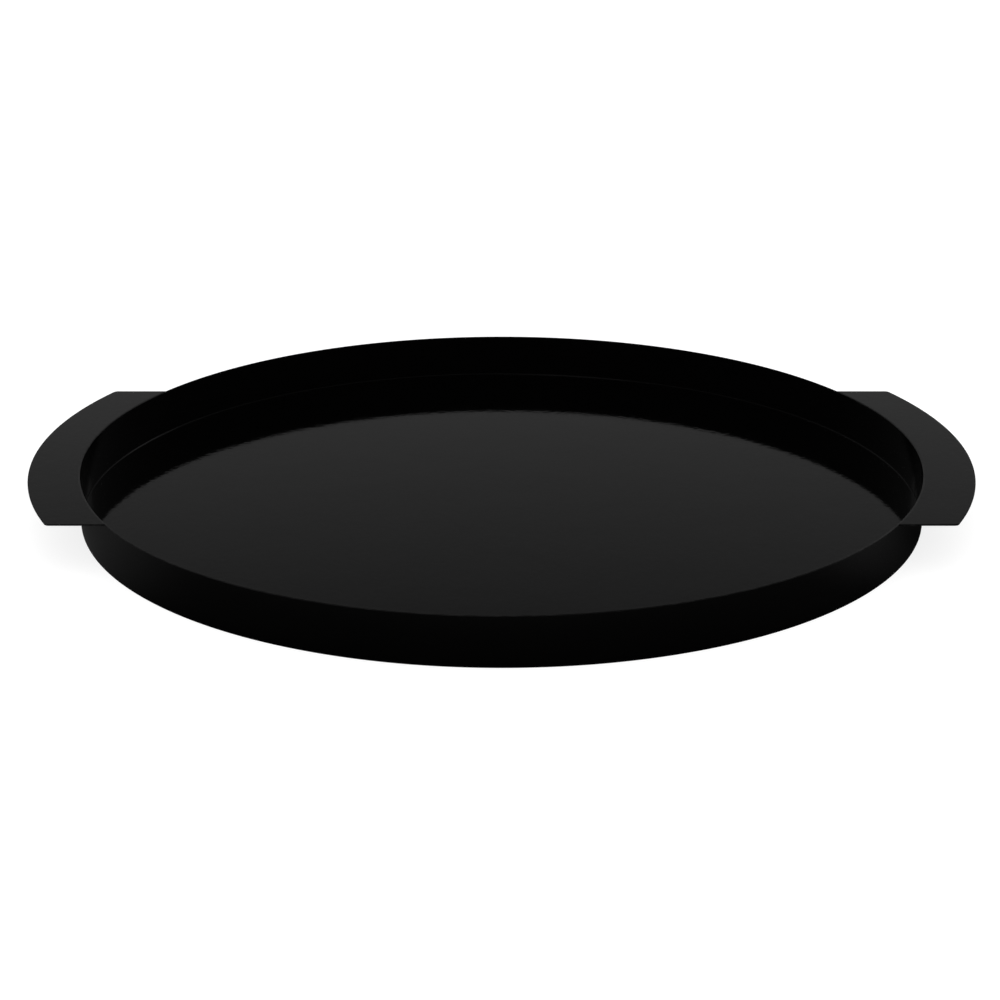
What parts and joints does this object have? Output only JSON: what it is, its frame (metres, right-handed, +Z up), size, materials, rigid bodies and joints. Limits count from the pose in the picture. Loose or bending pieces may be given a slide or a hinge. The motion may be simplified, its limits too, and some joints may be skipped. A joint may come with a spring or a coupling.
{
  "type": "serving tray",
  "caption": "Round gloss black sheet-steel serving tray with a flat floor, an upright wall and flat tab handles level with the rim.",
  "frame": {"origin": "centre of the flat underside, at the height of the surface the tray stands on", "axes": "+X from the left handle to the right handle, +Y towards the back, +Z up out of the tray"},
  "size_m": [0.4462, 0.4, 0.0228],
  "materials": {
    "black_gloss_paint": "high gloss baked enamel, black",
    "painted_weld": "the same black enamel over a dressed weld, slightly softer gloss"
  },
  "bodies": {
    "root": {"floor_disc": "black_gloss_paint", "wall_band": "black_gloss_paint", "right_handle": "black_gloss_paint", "left_handle": "black_gloss_paint", "wall_seam_weld": "painted_weld", "floor_weld": "painted_weld", "right_handle_weld": "painted_weld", "left_handle_weld": "painted_weld"}
  },
  "joints": []
}
